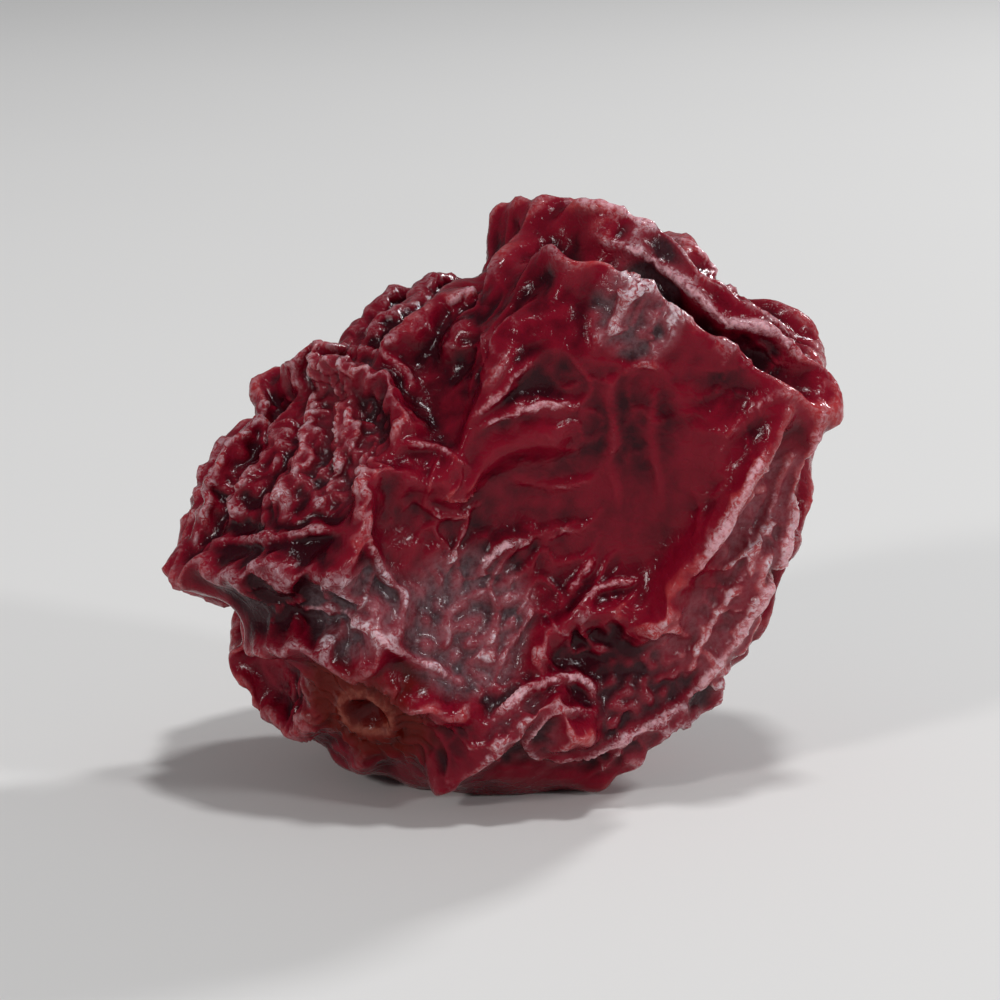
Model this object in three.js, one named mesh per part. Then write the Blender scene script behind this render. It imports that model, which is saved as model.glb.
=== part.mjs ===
import * as THREE from 'three';
import { mergeVertices } from 'three/addons/utils/BufferGeometryUtils.js';

// One whole dried cranberry, lying with its caved-in face to the front.
// Millimetres, +Z up, +X to the right and +Y to the back of that view.
// The origin is the middle of the underside of its bounding box.
const WIDTH = 14.5;
const DEPTH = 11;
const HEIGHT = 12.8;
const FLAT_SINK = 0.65; // how far the soft underside is pressed flat where it rests

const SKIN_COLOUR = 0x5a0a16;
const SKIN_ROUGHNESS = 0.35;

// The shrunken flesh from the front: how far it reaches from the middle, in mm,
// at a number of turns from +X towards +Z, in degrees.
const OUTLINE = [
  [6, 7.4], [25, 8.3], [46, 7.6], [64, 7.1], [78, 6.45], [92, 5.35],
  [115, 5], [135, 4.95], [150, 5.2], [170, 6.3], [186, 6.9], [198, 6.2],
  [212, 6.3], [235, 6.25], [264, 6.2], [283, 6.35], [305, 6.3], [335, 6.65], [350, 7],
];
const OUTLINE_STEPS = 720;
const FRONT_REACH = 5.6;
const BACK_REACH = 5.6;
const BULGE = 0.9; // under 1 gives the flanks a fuller turn than a ball's

// Hollows where the skin has sunk in, each a shallow bowl around a point of the flesh.
const DENTS = [
  { name: 'caved-in face', towards: [0.22, -1, 0.05], width: 9.5, depth: 1.9 },
  { name: 'upper left facet', towards: [-0.3, -0.8, 0.8], width: 4.2, depth: 0.6 },
  { name: 'valley beside the left lobe', towards: [-0.45, -1, -0.1], width: 3, depth: 0.5 },
  { name: 'recess under the left lobe', towards: [-1, -0.5, -0.5], width: 3.6, depth: 0.8 },
  { name: 'top trough', towards: [0.5, 0.1, 0.95], width: 4, depth: 0.5 },
  { name: 'right flank hollow', towards: [1, 0.2, -0.15], width: 5.5, depth: 0.7 },
  { name: 'lower right hollow', towards: [0.8, -0.3, -0.9], width: 4, depth: 0.5 },
  { name: 'back hollow', towards: [-0.35, 1, 0.1], width: 6.5, depth: 1.2 },
  { name: 'back upper hollow', towards: [0.5, 0.8, 0.75], width: 5, depth: 0.8 },
  { name: 'back lower hollow', towards: [0.75, 0.9, -0.5], width: 5, depth: 0.8 },
  { name: 'left back hollow', towards: [-1, 0.75, 0.35], width: 5, depth: 0.6 },
];

// Folds of skin, each a stroke of [x, z] points drawn on the side that it faces, as seen from
// EYE_HEIGHT degrees above level, with how far it stands proud and how broad it is.
const EYE_HEIGHT = 12;
const STROKE_STEPS = 24;
const FRONT_FOLDS = [
  { name: 'outer rim', rise: 0.8, width: 0.5, path: [[1.1, 6.3], [3.4, 5.8], [6, 4], [7.2, 2.8]] },
  { name: 'rim trough', rise: -0.5, width: 0.4, path: [[1.9, 5.6], [3.8, 4.9], [5.9, 3.5]] },
  { name: 'inner rim', rise: 0.9, width: 0.5, path: [[1.8, 4.9], [3.9, 4], [5.8, 2.7], [6.9, 2.1]] },
  { name: 'strip edge', rise: 0.8, width: 0.5, path: [[6.2, 1.6], [5.2, -0.3], [4.1, -2.1]] },
  { name: 'right rim', rise: 0.6, width: 0.5, path: [[7.1, 2.2], [6.4, -0.8], [5.3, -3.3], [2.8, -5.6]] },
  { name: 'lobe ledge', rise: 0.9, width: 0.5, path: [[-6.5, -1], [-4.8, -1.1], [-3.1, -0.8]] },
  { name: 'valley lip', rise: 0.8, width: 0.5, path: [[-2.6, 0.4], [-2.8, -1.2], [-2.1, -2.5]] },
  { name: 'lobe brow', rise: 0.7, width: 0.45, path: [[-5, 2.5], [-3.6, 3.1], [-2.1, 2.5], [-1.8, 1.7]] },
  { name: 'stem brow', rise: 0.9, width: 0.5, path: [[-4.6, -2.4], [-3.3, -2.7], [-1.9, -3.6], [-0.6, -4]] },
  { name: 'keel fold', rise: 0.8, width: 0.45, path: [[-0.7, -5.4], [0, -4.8], [1.4, -4.1], [2.2, -4.6]] },
  { name: 'upper crease', rise: 0.5, width: 0.4, path: [[-0.7, 1.2], [0.2, 2.2], [0.7, 2.8]] },
  { name: 'middle crease', rise: 0.5, width: 0.4, path: [[-2.1, 0.9], [-0.4, 0.8], [0.6, 1.5], [1.8, 1.8]] },
  { name: 'lower crease', rise: 0.5, width: 0.4, path: [[1.4, -2.9], [2.1, -2.2], [3.1, -2]] },
];
const BACK_FOLDS = [
  { name: 'back ridge', rise: 0.7, width: 0.7, path: [[-4.6, 1], [-1, 2.6], [2.4, 2], [5, -0.4]] },
  { name: 'stem side fold', rise: 0.6, width: 0.7, path: [[-3, -4.2], [-0.6, -1.8], [0.4, 1.4]] },
  { name: 'back right fold', rise: 0.6, width: 0.7, path: [[3.2, -4], [4.2, -1.6], [3.2, 0.8]] },
];

// The skin keeps more length than the flesh under it, most of it round the stalk's axis,
// so it buckles into wrinkles that tend to run from the stalk's end to the other one.
const STALK_AXIS = [-0.42, -0.78, -0.72];
const SKIN = {
  spareLength: 0.42, // share of extra length round the axis
  evenShare: 0.35, // share of that length which an edge along the axis has too
  stretchHold: 0.9,
  bendHold: 0.28,
  fleshHold: 0.012,
  inwardHold: 3, // how much harder the flesh resists a dip than a rise
  foldHold: 8, // how much harder the flesh holds the skin along a drawn fold
  fullFold: 0.4, // the rise of a fold, in mm, from which that counts in full
  rounds: 200,
};
const SHAKE = 0.06; // the unevenness in mm that the wrinkles start from
const TABLE_CALM = 2; // how high above the underside the skin is less wrinkled
const SMOOTH_FACE = { towards: [0.22, -1, 0.05], reach: 4.5, calm: 0.6 };

// The scar where the stalk came off: a pale ring round a small pit, on a flattened disc.
const STEM_SCAR = {
  towards: [-0.42, -0.82, -0.56],
  disc: 1.25,
  edge: 0.75,
  clear: 0.75, // how far around it no fold runs
  ring: 0.6,
  ringWidth: 0.22,
  rise: 0.25,
  pit: 0.4,
  pitWidth: 0.36,
};

const DETAIL = 23; // rows of triangles along an edge of the icosahedron, less one
const FRONT_SHARE = 0.25; // draws the triangles towards the front, where the folds are
const SAME_PLACE = 1e-5;

const { degToRad, euclideanModulo, lerp, smoothstep } = THREE.MathUtils;
const toVector = ([x, y, z]) => new THREE.Vector3(x, y, z);
const hump = (away, width) => Math.exp(-((away / width) ** 2));

// The outline as a smooth closed curve, cut into short steps sorted by their turn.
const outlineSteps = new THREE.CatmullRomCurve3(
  OUTLINE.map(([turn, reach]) => new THREE.Vector3(reach, 0, 0).applyAxisAngle(
    new THREE.Vector3(0, -1, 0),
    degToRad(turn),
  )),
  true,
  'centripetal',
).getSpacedPoints(OUTLINE_STEPS)
  .map((point) => ({ turn: Math.atan2(point.z, point.x), reach: point.length() }))
  .sort((a, b) => a.turn - b.turn);

function outlineReach(turn) {
  const after = outlineSteps.findIndex((step) => step.turn > turn);
  const next = outlineSteps[Math.max(after, 0)];
  const last = outlineSteps.at(after < 0 ? -1 : after - 1);
  const span = euclideanModulo(next.turn - last.turn, 2 * Math.PI);
  const along = euclideanModulo(turn - last.turn, 2 * Math.PI);
  return lerp(last.reach, next.reach, span > 0 ? along / span : 0);
}

// The flesh before it sinks in, in one direction from its middle.
function fleshPoint({ x, y, z }) {
  const turn = Math.atan2(z, x);
  const reach = outlineReach(turn) * Math.hypot(x, z) ** BULGE;
  const depth = (y < 0 ? -FRONT_REACH : BACK_REACH) * Math.abs(y) ** BULGE;
  return new THREE.Vector3(reach * Math.cos(turn), depth, reach * Math.sin(turn));
}

const bowls = DENTS.map(({ towards, width, depth }) => {
  const direction = toVector(towards).normalize();
  return { centre: fleshPoint(direction), inwards: direction.clone().negate(), radius: width / 2, depth };
});

function dentedPoint(direction) {
  const start = fleshPoint(direction);
  return bowls.reduce((point, { centre, inwards, radius, depth }) => {
    const share = Math.min(1, start.distanceTo(centre) / radius);
    return point.addScaledVector(inwards, depth * (1 - share ** 2) ** 1.5);
  }, start.clone());
}

const scarCentre = dentedPoint(toVector(STEM_SCAR.towards).normalize());
const faceCentre = dentedPoint(toVector(SMOOTH_FACE.towards).normalize());

// A stroke drawn on one side of the body (-1 front, 1 back), laid onto the skin's nearest vertices.
function layStroke({ path, rise, width }, side, places) {
  const drawn = new THREE.CatmullRomCurve3(path.map(([x, z]) => new THREE.Vector3(x, 0, z)));
  const eye = degToRad(EYE_HEIGHT);
  const points = drawn.getSpacedPoints(STROKE_STEPS).map((spot) => {
    const away = ({ x, y, z }) => {
      const height = z * Math.cos(eye) - side * y * Math.sin(eye);
      return Math.hypot(x - spot.x, height - spot.z) - 0.1 * side * y;
    };
    return places.reduce((best, place) => (away(place) < away(best) ? place : best));
  });
  return { points, rise, width };
}

function foldRise(place, strokes) {
  return strokes.reduce((sum, { points, rise, width }) => {
    const away = Math.min(...points.map((point) => point.distanceTo(place)));
    return sum + rise * Math.exp(-((away / width) ** 1.5));
  }, 0);
}

function startingUnevenness({ x, y, z }) {
  const across = Math.sin(3.1 * x + 2 * Math.sin(2.3 * z));
  const along = Math.sin(2.9 * y + 2 * Math.sin(2.6 * x));
  return SHAKE * across * along;
}

// Each vertex's neighbours, from a triangle list.
function neighbourRings(corners, count) {
  const rings = Array.from({ length: count }, () => new Set());
  for (let i = 0; i < corners.length; i += 3) {
    for (const [a, b] of [[0, 1], [1, 2], [2, 0]]) {
      rings[corners[i + a]].add(corners[i + b]);
      rings[corners[i + b]].add(corners[i + a]);
    }
  }
  return rings.map((ring) => [...ring]);
}

function vertexNormals(corners, places) {
  const normals = places.map(() => new THREE.Vector3());
  for (let i = 0; i < corners.length; i += 3) {
    const [a, b, c] = [0, 1, 2].map((k) => places[corners[i + k]]);
    const face = b.clone().sub(a).cross(c.clone().sub(a));
    for (let k = 0; k < 3; k += 1) normals[corners[i + k]].add(face);
  }
  return normals.map((normal) => normal.normalize());
}

function middleOf(ring, places) {
  return ring.reduce((sum, j) => sum.add(places[j]), new THREE.Vector3()).divideScalar(ring.length);
}

// The full lengths of the skin's edges: longer than the flesh under them where it is slack.
function skinLengths(flesh, rings, slack) {
  const axis = toVector(STALK_AXIS).normalize();
  return rings.map((ring, i) => {
    const around = axis.clone().cross(flesh[i]).normalize();
    return ring.map((j) => {
      const edge = flesh[j].clone().sub(flesh[i]);
      const share = lerp(SKIN.evenShare, 1, (edge.dot(around) / edge.length()) ** 2);
      return edge.length() * (1 + SKIN.spareLength * share * (slack[i] + slack[j]) / 2);
    });
  });
}

// Lets the skin buckle: its edges push to their full length, it resists bending,
// and the flesh holds it down to the given rises.
function buckle(flesh, normals, rings, rises, slack) {
  const lengths = skinLengths(flesh, rings, slack);
  const holds = rises.map((rise) => {
    const drawn = Math.min(1, Math.abs(rise) / SKIN.fullFold);
    return SKIN.fleshHold * (1 + SKIN.foldHold * drawn);
  });
  let skin = flesh.map((place, i) => place.clone().addScaledVector(normals[i], rises[i]));
  for (let round = 0; round < SKIN.rounds; round += 1) {
    const last = skin;
    const moved = last.map((place, i) => place.clone().sub(flesh[i]));
    const bends = moved.map((step, i) => middleOf(rings[i], moved).sub(step));
    skin = last.map((place, i) => {
      const push = new THREE.Vector3();
      rings[i].forEach((j, k) => {
        const edge = last[j].clone().sub(place);
        push.addScaledVector(edge, 1 - lengths[i][k] / edge.length());
      });
      const lifted = moved[i].dot(normals[i]) - rises[i];
      const hold = holds[i] * (lifted < 0 ? SKIN.inwardHold : 1);
      return place.clone()
        .addScaledVector(push, SKIN.stretchHold / rings[i].length)
        .addScaledVector(middleOf(rings[i], bends).sub(bends[i]), -SKIN.bendHold)
        .addScaledVector(normals[i], -hold * lifted);
    });
  }
  return skin;
}

function scarRise(away) {
  const { ring, ringWidth, rise, pit, pitWidth } = STEM_SCAR;
  return rise * hump(away - ring, ringWidth) - pit * hump(away, pitWidth);
}

function wrinkledPlaces(directions, corners) {
  const flesh = directions.map(dentedPoint);
  const normals = vertexNormals(corners, flesh);
  const rings = neighbourRings(corners, flesh.length);
  const lowest = Math.min(...flesh.map(({ z }) => z));
  const strokes = [
    ...FRONT_FOLDS.map((fold) => layStroke(fold, -1, flesh)),
    ...BACK_FOLDS.map((fold) => layStroke(fold, 1, flesh)),
  ];
  const offScar = flesh.map((place) => {
    const away = place.distanceTo(scarCentre);
    return smoothstep(away, STEM_SCAR.disc, STEM_SCAR.disc + STEM_SCAR.edge);
  });
  const slack = flesh.map((place, i) => {
    const { reach, calm } = SMOOTH_FACE;
    const offFace = smoothstep(place.distanceTo(faceCentre), 0.4 * reach, reach);
    const offTable = smoothstep(place.z, lowest, lowest + TABLE_CALM);
    return offScar[i] * offTable * lerp(1 - calm, 1, offFace);
  });
  const rises = flesh.map((place, i) => {
    const { clear, edge } = STEM_SCAR;
    const offRing = smoothstep(place.distanceTo(scarCentre), clear, clear + edge);
    return offRing * foldRise(place, strokes) + offScar[i] * startingUnevenness(place);
  });
  return buckle(flesh, normals, rings, rises, slack).map((place, i) => {
    const rise = (1 - offScar[i]) * scarRise(place.distanceTo(scarCentre));
    return place.addScaledVector(normals[i], rise);
  });
}

function driedCranberry() {
  const ball = new THREE.IcosahedronGeometry(1, DETAIL);
  ball.deleteAttribute('normal');
  ball.deleteAttribute('uv');
  const geometry = mergeVertices(ball, SAME_PLACE);
  const positions = geometry.getAttribute('position');
  const directions = Array.from({ length: positions.count }, (_, i) => {
    const direction = new THREE.Vector3().fromBufferAttribute(positions, i);
    return direction.setY(direction.y - FRONT_SHARE).normalize();
  });
  const places = wrinkledPlaces(directions, geometry.index.array);
  const underside = Math.min(...places.map(({ z }) => z)) + FLAT_SINK;
  places.forEach(({ x, y, z }, i) => positions.setXYZ(i, x, y, Math.max(z, underside)));

  geometry.computeBoundingBox();
  const { min, max } = geometry.boundingBox;
  geometry.translate(-(min.x + max.x) / 2, -(min.y + max.y) / 2, -min.z);
  geometry.scale(WIDTH / (max.x - min.x), DEPTH / (max.y - min.y), HEIGHT / (max.z - min.z));
  geometry.computeVertexNormals();

  const skin = new THREE.MeshStandardMaterial({
    color: SKIN_COLOUR,
    roughness: SKIN_ROUGHNESS,
    metalness: 0,
  });
  const berry = new THREE.Mesh(geometry, skin);
  berry.name = 'dried_cranberry';
  return berry;
}

const cranberry = new THREE.Group();
cranberry.add(driedCranberry());

export default cranberry;
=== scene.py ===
"""A whole dried cranberry: fine wrinkled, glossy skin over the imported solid, on a pale floor.

Shape work is in millimetres, and the scene in metres. The berry's caved-in face looks along -Y.
"""

import math

import bpy
import numpy as np
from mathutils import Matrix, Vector, noise


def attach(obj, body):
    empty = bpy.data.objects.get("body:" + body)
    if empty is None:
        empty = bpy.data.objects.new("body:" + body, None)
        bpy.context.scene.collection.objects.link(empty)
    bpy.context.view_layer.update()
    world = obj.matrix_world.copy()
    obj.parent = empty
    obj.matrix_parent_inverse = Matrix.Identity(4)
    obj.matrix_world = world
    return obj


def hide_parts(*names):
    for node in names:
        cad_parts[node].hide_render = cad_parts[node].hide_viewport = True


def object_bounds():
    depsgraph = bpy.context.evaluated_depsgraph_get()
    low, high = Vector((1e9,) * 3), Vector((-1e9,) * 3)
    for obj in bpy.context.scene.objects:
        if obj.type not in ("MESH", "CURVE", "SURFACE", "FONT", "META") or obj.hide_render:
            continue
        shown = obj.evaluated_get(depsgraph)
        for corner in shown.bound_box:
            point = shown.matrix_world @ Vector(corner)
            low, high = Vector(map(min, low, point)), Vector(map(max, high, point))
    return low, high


bl_info = {
    "name": "Dried cranberry",
    "version": (1, 0, 0),
    "blender": (4, 5, 0),
    "location": "3D View > Sidebar > Cranberry",
    "description": "A whole dried cranberry with wrinkled, glossy skin, on a pale floor",
    "category": "Add Mesh",
}

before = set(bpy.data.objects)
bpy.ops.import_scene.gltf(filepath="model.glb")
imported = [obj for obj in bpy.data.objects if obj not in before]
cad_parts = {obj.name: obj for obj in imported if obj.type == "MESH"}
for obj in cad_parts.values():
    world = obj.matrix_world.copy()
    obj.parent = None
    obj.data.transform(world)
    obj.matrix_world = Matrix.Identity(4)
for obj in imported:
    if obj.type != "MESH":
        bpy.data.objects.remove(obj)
CAD_LOW, CAD_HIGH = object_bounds()

MM = 1000.0
NODE = "dried_cranberry"
BODY = "root"

# The view that the creases below are drawn in: from this many degrees above level, in mm right
# of and above the berry's middle.
EYE_HEIGHT = math.radians(12)
MIDDLE_HEIGHT = round((CAD_LOW[2] + CAD_HIGH[2]) / 2 * MM, 3)

# Where the stalk came off, which way that place faces, and the way that the wrinkles run.
SCAR = np.array([-2.8, -3.87, 2.3])
SCAR_OUTWARDS = np.array([-0.39, -0.76, -0.52])
STALK_AXIS = np.array([-0.37, -0.68, -0.63])

# A point of the view lands on skin that faces the viewer by more than this, and the nearer of
# two places wins by this share of the distance between them.
FACING = -0.05
NEAR_SHARE = 0.05

# Places where the skin differs from the rest: the middle and how far the place reaches in mm, how
# much goes there into medium wrinkles, fine ones and thin lines, how pale it is with dry bloom and
# painted glints, and how much lighter or darker. The last is painted shade in the hollows, between
# the rims, under the ledge, under the face and on the underside, painted light on the right strips,
# and lighter or darker skin elsewhere. A later place lies over an earlier one.
PATCHES = [
    ("caved-in face", (1.6, -3.4, 7.6), 5.2, 0.12, 0.2, 0.75, 0.05, 0.15),
    ("face's dark band", (3.0, -3.5, 8.3), 1.3, 0.12, 0.3, 0.75, 0.1, -0.3),
    ("lower face", (-0.2, -3.6, 6.0), 2.6, 0.25, 0.8, 1.7, 0.6, 0.25),
    ("dark shoulder", (0.2, -3.0, 10.6), 2.6, 0.4, 0.7, 1.1, 0.4, -0.55),
    ("right shoulder", (4.9, -2.4, 10.0), 1.8, 0.4, 0.6, 1.0, 0.4, -0.5),
    ("upper face", (3.0, -3.5, 10.9), 1.4, 0.3, 1.6, 2.2, 1.3, -0.3),
    ("between the rims", (3.4, -1.6, 11.7), 1.5, 0.4, 0.8, 1.2, 0.9, -0.6),
    ("left lobe", (-4.3, -3.0, 8.0), 3.6, 0.5, 1.5, 1.6, 0.8, -0.1),
    ("lobe side", (-6.0, -1.4, 7.2), 3.0, 0.7, 1.4, 1.5, 0.6, -0.2),
    ("lobe top", (-2.6, 0.2, 10.0), 2.6, 0.8, 1.4, 1.3, 0.3, -0.6),
    ("under the ledge", (-4.4, -4.6, 5.0), 2.4, 0.8, 0.8, 1.0, 0.5, -0.7),
    ("above the scar", (-3.0, -4.7, 4.8), 1.5, 0.6, 1.0, 1.3, 1.5, -0.25),
    ("below the face", (-0.7, -4.1, 4.2), 2.1, 0.5, 1.2, 1.6, 1.5, 0.05),
    ("right strip", (5.9, -2.9, 6.3), 2.2, 0.5, 1.3, 1.7, 1.2, 0.6),
    ("lower right strip", (4.6, -3.2, 3.4), 2.2, 0.5, 1.3, 1.6, 1.1, 0.4),
    ("under the face", (1.7, -3.7, 3.3), 1.5, 0.5, 1.0, 1.2, 0.5, -0.2),
    ("right underside", (3.2, -3.0, 1.9), 2.1, 0.6, 1.3, 1.5, 0.8, -0.5),
    ("keel", (0.4, -4.2, 1.9), 1.5, 0.6, 1.4, 1.3, 0.9, -0.1),
    ("right flank", (6.0, 1.2, 5.0), 3.0, 0.9, 1.2, 1.3, 0.3, 0.0),
    ("back hollow", (-1.6, 4.4, 6.6), 2.6, 1.2, 0.9, 1.2, 0.2, -0.3),
]

# The share of its reach that a place has wholly for itself.
PATCH_CORE = 0.5

# What the rest of the skin gets of wrinkles and lines, how much that varies, with how many bumps
# in a mm, and how pale it is.
USUAL_SLACK = 0.85
SLACK_SHAKE = 0.5
SLACK_GRAIN = 0.28
USUAL_PALE = 0.25

# How far from the scar, in mm, there are no medium wrinkles, fine ones, thin lines and paleness,
# and how far from it they are all there. Then the same for the height above the floor.
SCAR_CLEAR = np.array([1.0, 1.0, 0.8, 0.9])
SCAR_FADE = np.array([1.7, 1.7, 1.3, 1.4])
FLOOR_CLEAR = 0.05
FLOOR_FADE = 1.2

# The longest creases, in the view from the front.
OUTER_RIM = [(0.9, 6.3), (2.3, 6.2), (3.5, 5.7), (4.9, 4.7), (6.0, 3.8), (7.0, 3.1)]
INNER_RIM = [(2.0, 5.4), (3.1, 5.0), (4.0, 4.4), (4.9, 3.6), (5.9, 3.3), (6.9, 2.6)]
RIGHT_RIM = [(7.05, 2.4), (6.8, 0.8), (6.25, -1.1), (5.6, -2.6), (4.7, -3.95), (3.7, -4.85)]
LOW_RIM = [(4.3, -4.4), (3.6, -4.95), (2.6, -5.45), (1.7, -5.8), (0.9, -5.8)]
STRIP_VEIN = [(6.3, 0.6), (5.9, -0.6), (5.4, -1.8), (4.6, -3.0), (4.1, -4.2)]
LOBE_BROW = [(-5.0, 2.6), (-4.3, 3.0), (-3.1, 3.0), (-2.1, 2.5), (-1.8, 2.0)]
STEM_BROW = [(-4.5, -2.5), (-3.4, -2.6), (-2.4, -3.3), (-1.5, -3.8), (-0.7, -4.2)]

# Thin sharp creases, by the side that they are seen from, in degrees round from the front: how far
# they stand proud, how broad they are, how pale their crests are with wear and a painted highlight,
# and their points in the view.
CREASES = {
    0: [
        ("outer rim", 0.25, 0.13, 1.45, OUTER_RIM),
        ("inner rim", 0.25, 0.12, 1.45, INNER_RIM),
        ("right rim", 0.26, 0.13, 1.5, RIGHT_RIM),
        ("low rim", 0.2, 0.11, 1.2, LOW_RIM),
        ("strip edge", 0.28, 0.13, 1.4, [(5.8, 0.9), (5.2, -0.3), (4.6, -1.3), (4.1, -2.0)]),
        ("strip vein", 0.16, 0.08, 0.8, STRIP_VEIN),
        ("upper crease", 0.2, 0.08, 1.1, [(-0.7, 1.3), (0.0, 1.9), (0.3, 2.3), (0.8, 2.7)]),
        ("middle crease", 0.19, 0.08, 1.1, [(-0.5, 1.2), (0.1, 1.5), (0.9, 1.7), (1.8, 1.8)]),
        ("left crease", 0.16, 0.08, 0.6, [(-2.1, 0.9), (-1.3, 0.8), (-0.5, 0.3)]),
        ("lower crease", 0.21, 0.08, 1.1, [(1.5, -2.9), (2.2, -2.2), (3.1, -2.0)]),
        ("short crease", 0.18, 0.08, 0.8, [(1.5, -2.3), (1.8, -1.9), (2.1, -1.5)]),
        ("low crease", 0.2, 0.09, 1.1, [(-0.5, -1.9), (0.0, -1.3), (0.7, -1.1)]),
        ("lobe brow", 0.2, 0.1, 0.5, LOBE_BROW),
        ("lobe ledge", 0.21, 0.1, 0.6, [(-6.4, -1.2), (-4.8, -1.1), (-3.2, -0.9)]),
        ("valley lip", 0.2, 0.1, 0.6, [(-2.7, -0.3), (-2.8, -1.2), (-2.2, -2.1), (-2.0, -2.8)]),
        ("stem brow", 0.2, 0.1, 1.1, STEM_BROW),
        ("keel fold", 0.21, 0.1, 1.2, [(-0.4, -5.2), (0.7, -4.3), (1.7, -4.1), (2.2, -4.6)]),
        ("keel curl", 0.18, 0.09, 1.0, [(2.2, -4.8), (1.2, -4.8), (0.6, -5.4), (1.0, -5.9)]),
        ("small bump", 0.45, 0.24, 1.0, [(-1.2, 3.9), (-0.85, 4.05), (-0.5, 4.1)]),
        ("face vein", 0.09, 0.09, 0.1, [(2.2, 2.8), (2.5, 1.6), (2.4, 0.5), (2.7, -0.6)]),
        ("face side vein", 0.09, 0.09, 0.1, [(3.4, 2.2), (3.3, 1.0), (3.6, -0.4)]),
        ("face low vein", 0.09, 0.09, 0.3, [(0.3, 0.2), (1.2, 0.0), (2.1, 0.2)]),
        ("shoulder vein", 0.12, 0.09, 0.6, [(6.8, 1.9), (5.9, 1.9), (5.1, 1.3), (4.6, 0.4)]),
        ("strip wrinkle", 0.12, 0.09, 0.7, [(6.6, 1.0), (6.1, 0.1), (5.8, -0.9), (5.3, -1.9)]),
    ],
    90: [
        ("flank fold", 0.26, 0.24, 0.3, [(-1.6, -1.6), (-0.6, -2.9), (0.3, -3.4), (0.9, -4.9)]),
        ("flank side fold", 0.3, 0.22, 0.3, [(3.4, 0.6), (3.3, -0.8), (2.7, -2.0), (2.9, -3.4)]),
        ("flank crease", 0.18, 0.1, 0.5, [(-1.6, 1.3), (-0.8, 0.6), (0.6, 0.4), (1.9, 1.0)]),
    ],
}

# How many points a crease is laid out in, and how many of its breadths away it is still worked
# out. Between these shares of its length from either end it rises, and its height varies.
CREASE_STEPS = 40
CREASE_MARGIN = 4
CREASE_ENDS = (-0.05, 0.2)
CREASE_BASE = 0.8
CREASE_SHAKE = 0.5
CREASE_GRAIN = 1.3

# How sharply a crease ends at its sides, and how much narrower is its pale crest, which is wear and
# a painted highlight.
CREASE_POWER = 1.35
CREST_POWER = 1.5

# The two rounds of buckling. "bend" is how strongly the skin springs back from a bend, "hold" how
# strongly the flesh holds it, and "rounds" how often both are worked out. "shake" and "grain" are
# the height in mm and the number in a mm of the bumps that start the wrinkles, "even" is the share
# of the slack that runs along the stalk's axis, and "crease" the share of the drawn creases'
# height that the round starts from.
MEDIUM = {
    "bend": 0.3,
    "hold": 0.012,
    "rounds": 170,
    "shake": 0.05,
    "grain": 1.3,
    "even": 0.6,
    "crease": 0.4,
}
FINE = {
    "bend": 0.26,
    "hold": 0.02,
    "rounds": 130,
    "shake": 0.03,
    "grain": 3.2,
    "even": 0.85,
    "crease": 0.2,
}

# The share of the drawn creases' height that is laid on top once the skin has buckled.
CREASE_ON_TOP = 0.6

# How much of its way a vertex goes in one round to get its edges' lengths right, and how fast the
# starting bumps grow with the slack.
PUSH = 0.9
SHAKE_RISE = 6

# How much more strongly the flesh holds the skin where it sinks in, and along a drawn crease that
# is at least this many mm high.
INWARD_HOLD = 2.5
CREASE_HOLD = 8.0
FULL_CREASE = 0.1

# Nets of thin raised lines: how high, how many in a mm, how thin, and how much longer they run
# along the stalk's axis than across it.
LINES = [(0.075, 0.75, 0.075, 2.2), (0.045, 1.7, 0.1, 1.3)]

# How far the lines bend and how often, against their spacing, and how sharply they end at their
# sides. They come in patches, and the shifts in mm take the noise for their bends and for those
# patches from other places.
LINE_BEND = 0.35
BEND_GRAIN = 0.8
LINE_POWER = 1.4
BEND_SHIFT = 7.3
PATCH_SHIFT = 11.7
PATCH_GRAIN = 0.55
PATCH_EDGES = (-0.35, 0.3)

# The scar's relief in mm: its ring and how uneven that is, the number and height of the rays
# round it, how far they wander and curl, where they start and end, and how far the scar reaches.
RING_RADIUS = 0.6
RING_WIDTH = 0.1
RING_HEIGHT = 0.03
RING_SHAKE = 0.06
RAYS = 17
RAY_HEIGHT = 0.035
RAY_SHAKE = 5
RAY_CURL = 3
RAY_STARTS = (0.45, 0.85)
RAY_ENDS = (1.9, 1.3)
SCAR_GRAIN = 2.6
SCAR_REACH = 2.4

# How far from the scar's middle its colours come in, in mm: the skin around it, the ring from
# outside and from inside, and the pit.
DISC_COLOUR = (1.9, 1.1)
RING_OUTSIDE = (0.74, 0.6)
RING_INSIDE = (0.44, 0.56)
PIT_COLOUR = (0.5, 0.35)

# How much further the crests are drawn up, and by how many mm of their height at most.
SHARPNESS = 0.45
CREST_HEIGHT = 0.07

# How many times the skin is evened out to find where it swells, its folds and its crests.
SWELL_ROUNDS = 40
FOLD_ROUNDS = 14
CREST_ROUNDS = 3

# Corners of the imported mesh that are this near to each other, in mm, are one vertex.
WELD = 1e-4

# Keep the numbers that others are divided by from being zero.
TINY = 1e-9
SMALL = 1e-6

# How deep the finish's bump goes and how far light goes into the flesh, in metres.
BUMP_DEPTH = 0.00004
LIGHT_REACH = 0.0006


def colour(name, description, default):
    """A colour that the user can change."""
    return bpy.props.FloatVectorProperty(
        name=name,
        description=description,
        default=default,
        subtype="COLOR",
        min=0.0,
        max=1.0,
    )


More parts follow.
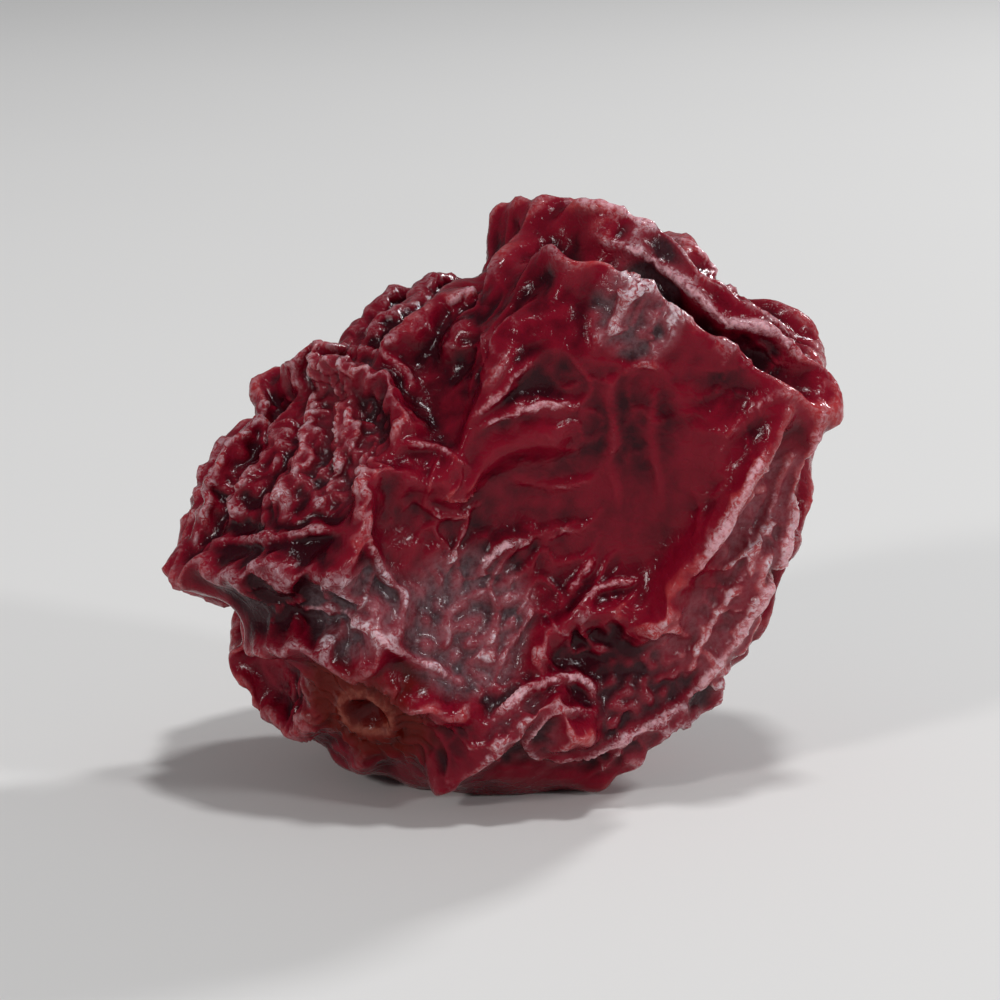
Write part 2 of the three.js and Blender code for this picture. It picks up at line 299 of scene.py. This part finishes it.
class SkinSettings(bpy.types.PropertyGroup):
    """The skin's slackness and colours."""

    medium_slack: bpy.props.FloatProperty(
        name="Wrinkle slack",
        description="Share of spare skin that goes into wrinkles about a millimetre apart",
        default=0.32,
        min=0.0,
        max=0.5,
        subtype="FACTOR",
    )
    fine_slack: bpy.props.FloatProperty(
        name="Fine slack",
        description="Share of spare skin that goes into wrinkles under half a millimetre apart",
        default=0.22,
        min=0.0,
        max=0.5,
        subtype="FACTOR",
    )
    crease_height: bpy.props.FloatProperty(
        name="Crease height",
        description="How far the sharp creases stand proud, against their drawn height",
        default=1.0,
        min=0.0,
        max=2.0,
    )
    line_height: bpy.props.FloatProperty(
        name="Line height",
        description="How far the nets of thin lines stand proud, against their set height",
        default=1.0,
        min=0.0,
        max=2.0,
    )
    # Deep darkens the valleys as painted shade, and red and bright on the raised folds are a painted
    # glow of light through thin skin; maroon is the skin's own colour.
    deep: colour("Deep", "Colour of the valleys", (0.026, 0.0007, 0.0035))
    maroon: colour("Maroon", "Colour of most of the skin", (0.16, 0.0025, 0.012))
    red: colour("Red", "Colour where the skin is thin and raised", (0.2, 0.005, 0.016))
    bright: colour("Bright", "Colour of the thinnest folds", (0.36, 0.03, 0.034))
    # Frost is a dry bloom with painted glints over it.
    frost_and_glint: colour("Frost", "Colour of the dry bloom on the fine wrinkles", (0.62, 0.5, 0.54))
    # Worn is rubbed skin with a painted highlight on the crests.
    worn: colour("Worn", "Colour of the sharp crests, where the skin is rubbed", (0.66, 0.36, 0.4))
    scar_disc: colour("Scar", "Colour of the skin around the stalk's scar", (0.1, 0.006, 0.002))
    scar_ring: colour("Scar ring", "Colour of the ring round the stalk's pit", (0.24, 0.06, 0.04))
    scar_pit: colour("Scar pit", "Colour of the stalk's pit", (0.07, 0.002, 0.002))


class StageSettings(bpy.types.PropertyGroup):
    """The floor, the lights and the camera."""

    floor_colour: colour("Floor", "Colour of the floor", (0.74, 0.73, 0.71))
    floor_size: bpy.props.FloatProperty(
        name="Floor size",
        description="Length of the floor's sides",
        default=6.0,
        unit="LENGTH",
    )
    elevation: bpy.props.FloatProperty(
        name="Camera height",
        description="How far above level the camera looks from",
        default=EYE_HEIGHT,
        subtype="ANGLE",
    )
    distance: bpy.props.FloatProperty(
        name="Camera distance",
        description="How far the camera is from the berry's middle",
        default=0.082,
        unit="LENGTH",
    )
    lens: bpy.props.FloatProperty(
        name="Lens",
        description="Focal length in mm",
        default=135.0,
    )
    light: bpy.props.FloatProperty(
        name="Light",
        description="Strength of all lights, against their set power",
        default=1.0,
        min=0.0,
    )


def smooth_step(value, low, high):
    """From 0 at low to 1 at high, smoothly."""
    share = np.clip((value - low) / (high - low), 0.0, 1.0)
    return share * share * (3 - 2 * share)


def lerp(a, b, share):
    """From a, where the share is 0, to b, where it is 1."""
    return a + (b - a) * share


def welded(mesh):
    """The mesh's corners in mm, one for each place, and its triangles."""
    places = np.empty(len(mesh.vertices) * 3)
    mesh.vertices.foreach_get("co", places)
    places = places.reshape(-1, 3) * MM
    corners = np.empty(len(mesh.loops), dtype=np.int64)
    mesh.loops.foreach_get("vertex_index", corners)
    keys = np.round(places / WELD).astype(np.int64)
    _, first, which = np.unique(keys, axis=0, return_index=True, return_inverse=True)
    return places[first], which.ravel()[corners].reshape(-1, 3)


def finer(places, triangles):
    """One round of Loop subdivision of a closed mesh, whose places may hold further values."""
    a, b, c = triangles.T
    sides = np.sort(np.concatenate([[a, b], [b, c], [c, a]], axis=1).T, axis=1)
    edges, which = np.unique(sides, axis=0, return_inverse=True)
    which = which.ravel()
    across = np.zeros((len(edges), places.shape[1]))
    np.add.at(across, which, places[np.concatenate([c, a, b])])
    middles = 0.375 * places[edges].sum(axis=1) + 0.125 * across
    spokes = np.bincount(edges.ravel(), minlength=len(places))
    around = np.zeros_like(places)
    np.add.at(around, edges[:, 0], places[edges[:, 1]])
    np.add.at(around, edges[:, 1], places[edges[:, 0]])
    share = (3 / (8 * spokes))[:, None]
    kept = places * (1 - spokes[:, None] * share) + around * share
    ab, bc, ca = len(places) + which.reshape(3, -1)
    split = [(a, ab, ca), (b, bc, ab), (c, ca, bc), (ab, bc, ca)]
    return np.concatenate([kept, middles]), np.concatenate([np.stack(t, axis=1) for t in split])


def finer_skin(places, swell, triangles):
    """One round of subdivision of the skin, with how far the berry swells out at each vertex."""
    values, triangles = finer(np.column_stack([places, swell]), triangles)
    return values[:, :3].copy(), values[:, 3], triangles


def neighbours(triangles, count):
    """Each vertex's neighbours in a table, filled up with the vertex itself."""
    start = triangles.ravel()
    end = np.roll(triangles, -1, axis=1).ravel()
    order = np.argsort(start, kind="stable")
    start, end = start[order], end[order]
    first = np.searchsorted(start, np.arange(count))
    column = np.arange(len(start)) - first[start]
    table = np.tile(np.arange(count)[:, None], (1, column.max() + 1))
    table[start, column] = end
    return table


def outward(places, triangles):
    """The vertices' normals."""
    a, b, c = (places[triangles[:, k]] for k in range(3))
    faces = np.cross(b - a, c - a)
    normals = np.zeros_like(places)
    for k in range(3):
        np.add.at(normals, triangles[:, k], faces)
    return normals / np.linalg.norm(normals, axis=1)[:, None]


def viewed(places, side):
    """How far right, how high and how far away a place is, seen from a side given in degrees."""
    turn = math.radians(side)
    right = places[:, 0] * math.cos(turn) + places[:, 1] * math.sin(turn)
    away = places[:, 1] * math.cos(turn) - places[:, 0] * math.sin(turn)
    height = (places[:, 2] - MIDDLE_HEIGHT) * math.cos(EYE_HEIGHT) + away * math.sin(EYE_HEIGHT)
    return np.stack([right, height], axis=1), away


def laid(points, places, normals, side):
    """Points of the view from a side, each moved onto the nearest skin that faces that side."""
    facing = np.flatnonzero(viewed(normals, side)[1] < FACING)
    flat, away = viewed(places[facing], side)
    misses = [np.linalg.norm(flat - point, axis=1) + NEAR_SHARE * away for point in points]
    return np.array([places[facing[miss.argmin()]] for miss in misses])


def curved(points, steps):
    """Evenly spread points on a smooth curve through the given ones."""
    points = np.array(points, dtype=float)
    ends = np.concatenate([[2 * points[0] - points[1]], points, [2 * points[-1] - points[-2]]])
    spots = np.linspace(0, len(points) - 1, steps)
    i = np.minimum(spots.astype(int), len(points) - 2)
    t = (spots - i)[:, None]
    p0, p1, p2, p3 = (ends[i + k] for k in range(4))
    return 0.5 * (
        2 * p1
        + (p2 - p0) * t
        + (2 * p0 - 5 * p1 + 4 * p2 - p3) * t**2
        + (3 * p1 - p0 - 3 * p2 + p3) * t**3
    )


def away_from_line(places, line):
    """How far each place is from a line of points, and how far along it, from 0 to 1."""
    nearest = np.full(len(places), np.inf)
    along = np.zeros(len(places))
    for step, (start, end) in enumerate(zip(line[:-1], line[1:])):
        run = end - start
        share = np.clip((places - start) @ run / max(run @ run, TINY), 0, 1)
        away = np.linalg.norm(places - start - share[:, None] * run, axis=1)
        closer = away < nearest
        nearest[closer] = away[closer]
        along[closer] = (step + share[closer]) / (len(line) - 1)
    return nearest, along


def crease_rises(places, normals, height):
    """How far the drawn creases lift the skin at each vertex, and how pale they make it with wear
    and a painted highlight.
    """
    rises = np.zeros(len(places))
    worn = np.zeros(len(places))
    for side, creases in CREASES.items():
        for _, rise, width, pale, points in creases:
            line = laid(curved(points, CREASE_STEPS), places, normals, side)
            line[1:-1] = (line[:-2] + 2 * line[1:-1] + line[2:]) / 4
            margin = CREASE_MARGIN * width
            low, high = line.min(axis=0) - margin, line.max(axis=0) + margin
            near = np.all((places > low) & (places < high), axis=1)
            away, along = away_from_line(places[near], line)
            fade = smooth_step(np.minimum(along, 1 - along), *CREASE_ENDS)
            fade *= CREASE_BASE + CREASE_SHAKE * uneven(places[near], CREASE_GRAIN)
            drawn = np.exp(-((away / width) ** CREASE_POWER))
            rises[near] = np.maximum(rises[near], height * rise * fade * drawn)
            worn[near] = np.maximum(worn[near], pale * fade * drawn**CREST_POWER)
    return rises, worn


def uneven(places, grain):
    """Smooth noise from -1 to 1, with this many bumps in a mm."""
    return np.array([noise.noise(Vector(place) * grain) for place in places])


def from_scar(places):
    """How far each place is from the scar's middle."""
    return np.linalg.norm(places - SCAR, axis=1)


def along_stalk():
    """The stalk's direction, one mm long."""
    return STALK_AXIS / np.linalg.norm(STALK_AXIS)


def slackness(places):
    """How much each vertex gets of medium wrinkles, fine ones, lines, paleness, and painted light
    and shade.
    """
    usual = USUAL_SLACK + SLACK_SHAKE * uneven(places, SLACK_GRAIN)
    pale, shade = np.full(len(places), USUAL_PALE), np.zeros(len(places))
    slack = np.stack([usual, usual, usual, pale, shade], axis=1)
    for _, middle, reach, *shares in PATCHES:
        away = smooth_step(np.linalg.norm(places - middle, axis=1), PATCH_CORE * reach, reach)
        slack = lerp(np.array(shares), slack, away[:, None])
    off_scar = smooth_step(from_scar(places)[:, None], SCAR_CLEAR, SCAR_FADE)
    off_floor = smooth_step(places[:, 2], FLOOR_CLEAR, FLOOR_FADE)
    slack[:, :4] *= off_scar * off_floor[:, None]
    return slack


def thin_lines(places):
    """The height of the nets of thin lines at each vertex."""
    stalk = along_stalk()
    height = np.zeros(len(places))
    for rise, grain, thinness, run in LINES:
        along = (places @ stalk)[:, None] * stalk
        drawn = places - along * (1 - 1 / run)
        bend = LINE_BEND / grain * uneven(drawn + BEND_SHIFT, grain * BEND_GRAIN)
        bent = drawn + bend[:, None]
        net = np.exp(-((np.abs(uneven(bent, grain)) / thinness) ** LINE_POWER))
        patchy = smooth_step(uneven(places - PATCH_SHIFT, PATCH_GRAIN), *PATCH_EDGES)
        height += rise * net * patchy
    return height


def scar_relief(places):
    """The height of the thin ring round the stalk's pit and of the fine rays round the ring."""
    outwards = SCAR_OUTWARDS / np.linalg.norm(SCAR_OUTWARDS)
    across = np.cross(outwards, (0, 0, 1))
    across /= np.linalg.norm(across)
    away = places - SCAR
    sideways, upwards = away @ across, away @ np.cross(across, outwards)
    spread = np.hypot(sideways, upwards)
    shake = uneven(places, SCAR_GRAIN)
    off_ring = (spread - RING_RADIUS - RING_WIDTH * shake) / RING_WIDTH
    ring = (RING_HEIGHT + RING_SHAKE * shake) * np.exp(-(off_ring**2))
    turn = RAYS * np.arctan2(upwards, sideways) + RAY_SHAKE * shake + RAY_CURL * spread
    rays = RAY_HEIGHT * np.sin(turn)
    rays *= smooth_step(spread, *RAY_STARTS) * smooth_step(spread, *RAY_ENDS)
    return np.where(from_scar(places) < SCAR_REACH, ring + rays, 0.0)


def buckled(flesh, triangles, slack, rises, recipe):
    """The skin once its spare length has pushed it into wrinkles."""
    table = neighbours(triangles, len(flesh))
    normals = outward(flesh, triangles)
    spokes = (table != np.arange(len(flesh))[:, None]).sum(axis=1)[:, None]
    around = np.cross(along_stalk(), flesh - flesh.mean(axis=0))
    around /= np.linalg.norm(around, axis=1)[:, None] + SMALL
    edges = flesh[table] - flesh[:, None]
    rest = np.linalg.norm(edges, axis=2)
    turn = np.einsum("vki,vi->vk", edges, around) / (rest + TINY)
    share = lerp(recipe["even"], 1.0, turn**2)
    full = rest * (1 + share * (slack[:, None] + slack[table]) / 2)
    rises = recipe["crease"] * rises
    drawn = np.clip(np.abs(rises) / FULL_CREASE, 0, 1)
    hold = recipe["hold"] * (1 + CREASE_HOLD * drawn)
    shake = recipe["shake"] * uneven(flesh, recipe["grain"])
    rises = rises + shake * np.clip(slack * SHAKE_RISE, 0, 1)

    def mean(values):
        return (values[table].sum(axis=1) - (table.shape[1] - spokes) * values) / spokes

    skin = flesh + normals * rises[:, None]
    for _ in range(recipe["rounds"]):
        moved = skin - flesh
        bends = mean(moved) - moved
        edges = skin[table] - skin[:, None]
        length = np.sqrt(np.einsum("vki,vki->vk", edges, edges)) + TINY
        push = np.einsum("vki,vk->vi", edges, 1 - full / length)
        lifted = np.einsum("vi,vi->v", moved, normals) - rises
        held = hold * np.where(lifted < 0, INWARD_HOLD, 1.0) * lifted
        skin = (
            skin
            + push * (PUSH / spokes)
            - (mean(bends) - bends) * recipe["bend"]
            - normals * held[:, None]
        )
    return skin


def smoothed(values, table, rounds):
    """Values once each has been shared with its neighbours this many times."""
    for _ in range(rounds):
        values = values[table].mean(axis=1)
    return values


def proudness(places, triangles, rounds):
    """How far each vertex stands out of the mesh once that is evened out."""
    flat = smoothed(places, neighbours(triangles, len(places)), rounds)
    return np.einsum("vi,vi->v", places - flat, outward(places, triangles))


def sharpened(places, triangles):
    """The skin with its crests drawn up into thinner edges."""
    crests = np.clip(proudness(places, triangles, CREST_ROUNDS), 0, CREST_HEIGHT)
    return places + outward(places, triangles) * (SHARPNESS * crests)[:, None]


def fitted(places):
    """The skin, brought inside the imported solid's box."""
    low, high = np.array(CAD_LOW) * MM, np.array(CAD_HIGH) * MM
    skin_low, skin_high = places.min(axis=0), places.max(axis=0)
    return low + (places - skin_low) * (high - low) / (skin_high - skin_low)


def wrinkled_skin(node, settings):
    """The skin's places and triangles, and what its finish needs to know at each vertex."""
    places, triangles = welded(node.data)
    swell = proudness(places, triangles, SWELL_ROUNDS)

    places, swell, triangles = finer_skin(places, swell, triangles)
    normals = outward(places, triangles)
    medium = slackness(places)[:, 0]
    rises, _ = crease_rises(places, normals, settings.crease_height)
    places = buckled(places, triangles, medium * settings.medium_slack, rises, MEDIUM)

    places, swell, triangles = finer_skin(places, swell, triangles)
    normals = outward(places, triangles)
    _, fine, lines, pale, shade = slackness(places).T
    rises, worn = crease_rises(places, normals, settings.crease_height)
    places = buckled(places, triangles, fine * settings.fine_slack, rises, FINE)
    raised = rises * CREASE_ON_TOP + thin_lines(places) * lines * settings.line_height
    raised += scar_relief(places)
    places += outward(places, triangles) * raised[:, None]
    places = sharpened(places, triangles)

    places[:, 2] = np.maximum(places[:, 2], 0.0)
    places = fitted(places)
    return places, triangles, {
        "ridge": proudness(places, triangles, FOLD_ROUNDS),
        "swell": swell,
        "slack": fine,
        "pale": pale,
        "shade": shade,
        "scar_reach": from_scar(places),
        "worn": worn,
    }


class Sum:
    """A socket in the sums of a finish, where each operator adds its Math node."""

    def __init__(self, finish, socket):
        self.finish = finish
        self.socket = socket

    def worked(self, operation, *values):
        numbered = dict(enumerate(values))
        node = self.finish.node("ShaderNodeMath", {"operation": operation}, numbered)
        return Sum(self.finish, node.outputs[0])

    def __add__(self, other):
        return self.worked("ADD", self, other)

    __radd__ = __add__

    def __sub__(self, other):
        return self.worked("SUBTRACT", self, other)

    def __rsub__(self, other):
        return self.worked("SUBTRACT", other, self)

    def __mul__(self, other):
        return self.worked("MULTIPLY", self, other)

    __rmul__ = __mul__


class Finish:
    """A material and the nodes that make it."""

    def __init__(self, name):
        self.material = bpy.data.materials.new(name)
        self.material.use_nodes = True
        self.tree = self.material.node_tree
        self.tree.nodes.clear()

    def node(self, kind, settings=None, values=None):
        """Adds a node: its settings first, then its sockets, by number or identifier."""
        node = self.tree.nodes.new(kind)
        for name, setting in (settings or {}).items():
            if name == "stops":
                self.set_stops(node.color_ramp, setting)
            else:
                setattr(node, name, setting)
        for name, value in (values or {}).items():
            socket = node.inputs[name] if isinstance(name, int) else self.socket(node, name)
            value = value.socket if isinstance(value, Sum) else value
            if isinstance(value, bpy.types.NodeSocket):
                self.tree.links.new(value, socket)
            else:
                socket.default_value = value
        return node

    @staticmethod
    def socket(node, identifier):
        return next(s for s in node.inputs if s.identifier == identifier)

    @staticmethod
    def set_stops(ramp, stops):
        while len(ramp.elements) < len(stops):
            ramp.elements.new(1.0)
        for element, (place, colour) in zip(ramp.elements, stops):
            element.position = place
            element.color = (*colour, 1.0)

    def told(self, name):
        """What the mesh says at each vertex under this name."""
        node = self.node("ShaderNodeAttribute", {"attribute_name": name})
        return Sum(self, node.outputs["Fac"])

    def between(self, value, low, high, start=0.0, end=1.0):
        """A value's place between two others, smoothly from start to end."""
        node = self.node(
            "ShaderNodeMapRange",
            {"interpolation_type": "SMOOTHSTEP", "clamp": True},
            {"Value": value, "From Min": low, "From Max": high, "To Min": start, "To Max": end},
        )
        return Sum(self, node.outputs[0])

    def noise(self, place, grain, detail=4.0, roughness=0.55, distortion=0.0):
        """Smooth noise from 0 to 1, with about this many bumps in a mm."""
        node = self.node(
            "ShaderNodeTexNoise",
            None,
            {
                "Vector": place,
                "Scale": grain,
                "Detail": detail,
                "Roughness": roughness,
                "Distortion": distortion,
            },
        )
        return Sum(self, node.outputs["Fac"])

    def cells(self, place, grain, wander, gap):
        """Small cells, 1 inside and 0 at their borders, which wander by this many mm."""
        drift = self.node("ShaderNodeTexNoise", None, {"Vector": place, "Scale": 3.0})
        bent = self.node(
            "ShaderNodeVectorMath",
            {"operation": "MULTIPLY_ADD"},
            {
                "Vector": drift.outputs["Color"],
                "Vector_001": (wander, wander, wander),
                "Vector_002": place,
            },
        )
        node = self.node(
            "ShaderNodeTexVoronoi",
            {"feature": "DISTANCE_TO_EDGE"},
            {"Vector": bent.outputs[0], "Scale": grain},
        )
        return self.between(Sum(self, node.outputs["Distance"]), 0.0, gap)

    def mixed(self, first, second, share):
        """One colour passing over into another."""
        node = self.node(
            "ShaderNodeMix",
            {"data_type": "RGBA"},
            {
                "Factor_Float": share,
                "A_Color": first if isinstance(first, bpy.types.NodeSocket) else (*first, 1.0),
                "B_Color": second if isinstance(second, bpy.types.NodeSocket) else (*second, 1.0),
            },
        )
        return next(s for s in node.outputs if s.identifier == "Result_Color")

    def place_in_mm(self):
        """The object's own coordinates, in mm."""
        coordinates = self.node("ShaderNodeTexCoord")
        node = self.node(
            "ShaderNodeVectorMath",
            {"operation": "SCALE"},
            {"Vector": coordinates.outputs["Object"], "Scale": MM},
        )
        return node.outputs[0]

    def close(self, shader):
        self.node("ShaderNodeOutputMaterial", None, {"Surface": shader.outputs[0]})
        return self.material


def cranberry_skin(settings):
    """Glossy dried skin: dark in the valleys as painted shade, red on the folds as a painted glow,
    and rubbed pale on the crests with painted highlights.
    """
    finish = Finish("cranberry_skin")
    place = finish.place_in_mm()
    ridge = finish.told("ridge")
    swell = finish.told("swell")
    slack = finish.told("slack")
    scar = finish.told("scar_reach")
    worn = finish.told("worn")
    pale = finish.told("pale")
    shade = finish.told("shade")
    blotch = finish.noise(place, grain=0.45, detail=3.0)
    mottle = finish.noise(place, grain=2.2, detail=5.0, roughness=0.6, distortion=0.4)
    speck = finish.noise(place, grain=4.5, detail=3.0, roughness=0.6, distortion=0.6)
    flake = finish.noise(place, grain=7.0, detail=4.0, roughness=0.7, distortion=0.8)
    grain = finish.noise(place, grain=9.0, detail=3.0, roughness=0.6)

    # Dark valleys and hollows as painted shade, red folds as a painted glow, blotched.
    raised = finish.between(ridge, -0.09, 0.12)
    # Painted shade: darker where the berry sinks in, lighter where it swells out.
    swollen = finish.between(swell, -0.6, 0.6)
    tone = raised * 0.72 + (blotch - 0.5) * 0.7 + (mottle - 0.5) * 0.5 + swollen * 0.14
    # The places' painted light and shade, and their lighter or darker skin.
    tone = tone + shade * 0.34
    colour = finish.node(
        "ShaderNodeValToRGB",
        {
            "stops": [
                (0.05, settings.deep),
                (0.36, settings.maroon),
                (0.68, settings.red),
                (1.0, settings.bright),
            ]
        },
        {0: tone},
    ).outputs[0]

    # Dry bloom with painted glints on the fine wrinkles, and crests rubbed pale with painted
    # highlights.
    # The frost over the pale places and the ridges' tops is dry bloom with painted glints.
    dry_bloom_and_glint = pale * finish.between(ridge, 0.03, 0.13) * finish.between(flake, 0.4, 0.6)
    # The crests' paleness is rubbed wear and a painted highlight.
    crest_wear_and_highlight = finish.between(ridge, 0.1, 0.22) * finish.between(mottle, 0.42, 0.62)
    uneven_wear_and_highlight = (speck - 0.5) * 1.7 + (flake - 0.5) * 1.2 + (mottle - 0.5) * 0.9
    scuffs_and_highlight = finish.between(worn * 0.92 + uneven_wear_and_highlight, 0.3, 1.15, 0.0, 0.95)
    patch_bloom_and_glint = finish.between(pale, 0.6, 1.4, 0.0, 0.13) * finish.between(mottle, 0.3, 0.6, 0.4, 1.0)
    patchy = finish.between(grain, 0.34, 0.6, 0.5, 1.0)
    colour = finish.mixed(colour, settings.frost_and_glint, (patch_bloom_and_glint + dry_bloom_and_glint * 0.9) * patchy)
    rubbed_and_highlight = crest_wear_and_highlight * 0.2 + scuffs_and_highlight * finish.between(worn, 0.08, 0.3)
    colour = finish.mixed(colour, settings.worn, rubbed_and_highlight * patchy)

    # The stalk's scar: the skin around it, the broken ring and the pit.
    disc = finish.between(scar + (mottle - 0.5) * 0.9, *DISC_COLOUR, 0.0, 0.9)
    colour = finish.mixed(colour, settings.scar_disc, disc)
    wavering = scar + (mottle - 0.5) * 0.3 + (speck - 0.5) * 0.2
    ring = finish.between(wavering, *RING_INSIDE) * finish.between(wavering, *RING_OUTSIDE)
    broken = finish.between(speck, 0.36, 0.6, 0.3, 1.0) * finish.between(grain, 0.25, 0.6, 0.35, 0.9)
    colour = finish.mixed(colour, settings.scar_ring, ring * broken)
    colour = finish.mixed(colour, settings.scar_pit, finish.between(scar, *PIT_COLOUR))

    # Gloss, with a fine crackled grain.
    roughness = 0.165 + (mottle - 0.5) * 0.16 + (grain - 0.5) * 0.12 + dry_bloom_and_glint * 0.12
    crackle = finish.cells(place, grain=3.6, wander=0.35, gap=0.16)
    bump = finish.node(
        "ShaderNodeBump",
        None,
        {
            "Strength": 0.5,
            "Distance": BUMP_DEPTH,
            "Height": grain * (0.4 + slack * 0.5) + mottle * 0.6 + crackle * 0.25,
        },
    )
    shader = finish.node(
        "ShaderNodeBsdfPrincipled",
        None,
        {
            "Base Color": colour,
            "Roughness": roughness,
            "Normal": bump.outputs[0],
            "IOR": 1.38,
            "Specular IOR Level": 0.16,
            "Subsurface Weight": 0.15,
            "Subsurface Radius": (1.0, 0.2, 0.1),
            "Subsurface Scale": LIGHT_REACH,
            "Coat Weight": 0.1,
            "Coat Roughness": 0.08,
        },
    )
    return finish.close(shader)


def pale_floor(settings):
    """A plain pale matt surface."""
    finish = Finish("pale_floor")
    place = finish.place_in_mm()
    cloud = finish.noise(place, grain=0.02, detail=2.0)
    darker = [0.97 * share for share in settings.floor_colour]
    colour = finish.mixed(settings.floor_colour, darker, cloud)
    shader = finish.node(
        "ShaderNodeBsdfPrincipled", None, {"Base Color": colour, "Roughness": 0.75}
    )
    return finish.close(shader)


def new_object(name, data):
    piece = bpy.data.objects.new(name, data)
    bpy.context.scene.collection.objects.link(piece)
    return piece


class CRANBERRY_OT_skin(bpy.types.Operator):
    """Add the berry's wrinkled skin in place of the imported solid"""

    bl_idname = "cranberry.skin"
    bl_label = "Add the skin"

    def execute(self, context):
        settings = context.scene.cranberry_skin
        places, triangles, told = wrinkled_skin(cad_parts[NODE], settings)
        if not np.isfinite(places).all():
            raise RuntimeError("The skin came apart: lower its slack.")
        mesh = bpy.data.meshes.new("berry_skin")
        mesh.from_pydata((places / MM).tolist(), [], triangles.tolist())
        for name, values in told.items():
            mesh.attributes.new(name, "FLOAT", "POINT").data.foreach_set("value", values)
        mesh.shade_smooth()
        mesh.materials.append(cranberry_skin(settings))
        piece = new_object("berry_skin", mesh)
        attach(piece, BODY)
        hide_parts(NODE)
        return {"FINISHED"}


class CRANBERRY_OT_stage(bpy.types.Operator):
    """Add the floor, the lights and the camera"""

    bl_idname = "cranberry.stage"
    bl_label = "Add the stage"

    # Each light: where it is, the width of its square, its power and its colour.
    COOL = (0.97, 0.98, 1.0)
    WARM = (1.0, 0.98, 0.98)
    LIGHTS = [
        ("back_light", (0.19, 0.2, 0.17), 0.035, 0.5, COOL),
        ("top_light", (0.03, -0.05, 0.3), 0.035, 0.34, COOL),
        ("front_light", (-0.2, -0.28, 0.16), 0.045, 0.42, WARM),
        ("side_light", (0.26, -0.16, 0.12), 0.035, 0.28, COOL),
    ]
    AIM = Vector((0, 0, 0.006))
    ROOM_COLOUR = (0.86, 0.88, 0.92, 1.0)
    ROOM_STRENGTH = 0.2

    def execute(self, context):
        settings = context.scene.cranberry_stage
        self.add_floor(settings)
        for name, place, width, power, colour in self.LIGHTS:
            self.add_light(name, Vector(place), width, power * settings.light, colour)
        self.add_camera(context.scene, settings)
        self.add_room(context.scene)
        return {"FINISHED"}

    def turned(self, piece, place):
        """Puts a light or the camera in its place, turned to the berry."""
        piece.location = place
        piece.rotation_euler = (self.AIM - place).to_track_quat("-Z", "Y").to_euler()

    def add_floor(self, settings):
        half = settings.floor_size / 2
        corners = [(-half, -half, 0), (half, -half, 0), (half, half, 0), (-half, half, 0)]
        mesh = bpy.data.meshes.new("floor")
        mesh.from_pydata(corners, [], [(0, 1, 2, 3)])
        mesh.materials.append(pale_floor(settings))
        new_object("floor", mesh)

    def add_room(self, scene):
        world = bpy.data.worlds.new("soft_room")
        world.use_nodes = True
        background = world.node_tree.nodes["Background"]
        background.inputs["Color"].default_value = self.ROOM_COLOUR
        background.inputs["Strength"].default_value = self.ROOM_STRENGTH
        scene.world = world
        scene.view_settings.view_transform = "Standard"

    def add_light(self, name, place, width, power, colour):
        light = bpy.data.lights.new(name, "AREA")
        light.size = width
        light.energy = power
        light.color = colour
        piece = new_object(name, light)
        piece.visible_camera = False
        self.turned(piece, place)

    def add_camera(self, scene, settings):
        camera = bpy.data.cameras.new("camera")
        camera.lens = settings.lens
        camera.clip_start = 0.001
        camera.clip_end = 20
        piece = new_object("camera", camera)
        back = Vector((0, -math.cos(settings.elevation), math.sin(settings.elevation)))
        self.turned(piece, self.AIM + back * settings.distance)
        scene.camera = piece


class CRANBERRY_PT_panel(bpy.types.Panel):
    """The berry's settings and operators"""

    bl_label = "Cranberry"
    bl_space_type = "VIEW_3D"
    bl_region_type = "UI"
    bl_category = "Cranberry"

    def draw(self, context):
        for settings, operator in (
            (context.scene.cranberry_skin, CRANBERRY_OT_skin),
            (context.scene.cranberry_stage, CRANBERRY_OT_stage),
        ):
            box = self.layout.box()
            for name in settings.__annotations__:
                box.prop(settings, name)
            box.operator(operator.bl_idname)


CLASSES = (
    SkinSettings,
    StageSettings,
    CRANBERRY_OT_skin,
    CRANBERRY_OT_stage,
    CRANBERRY_PT_panel,
)


def register():
    for cls in CLASSES:
        bpy.utils.register_class(cls)
    bpy.types.Scene.cranberry_skin = bpy.props.PointerProperty(type=SkinSettings)
    bpy.types.Scene.cranberry_stage = bpy.props.PointerProperty(type=StageSettings)


def unregister():
    del bpy.types.Scene.cranberry_stage
    del bpy.types.Scene.cranberry_skin
    for cls in reversed(CLASSES):
        bpy.utils.unregister_class(cls)


def main():
    register()
    bpy.ops.cranberry.skin()
    bpy.ops.cranberry.stage()


if __name__ == "__main__":
    main()
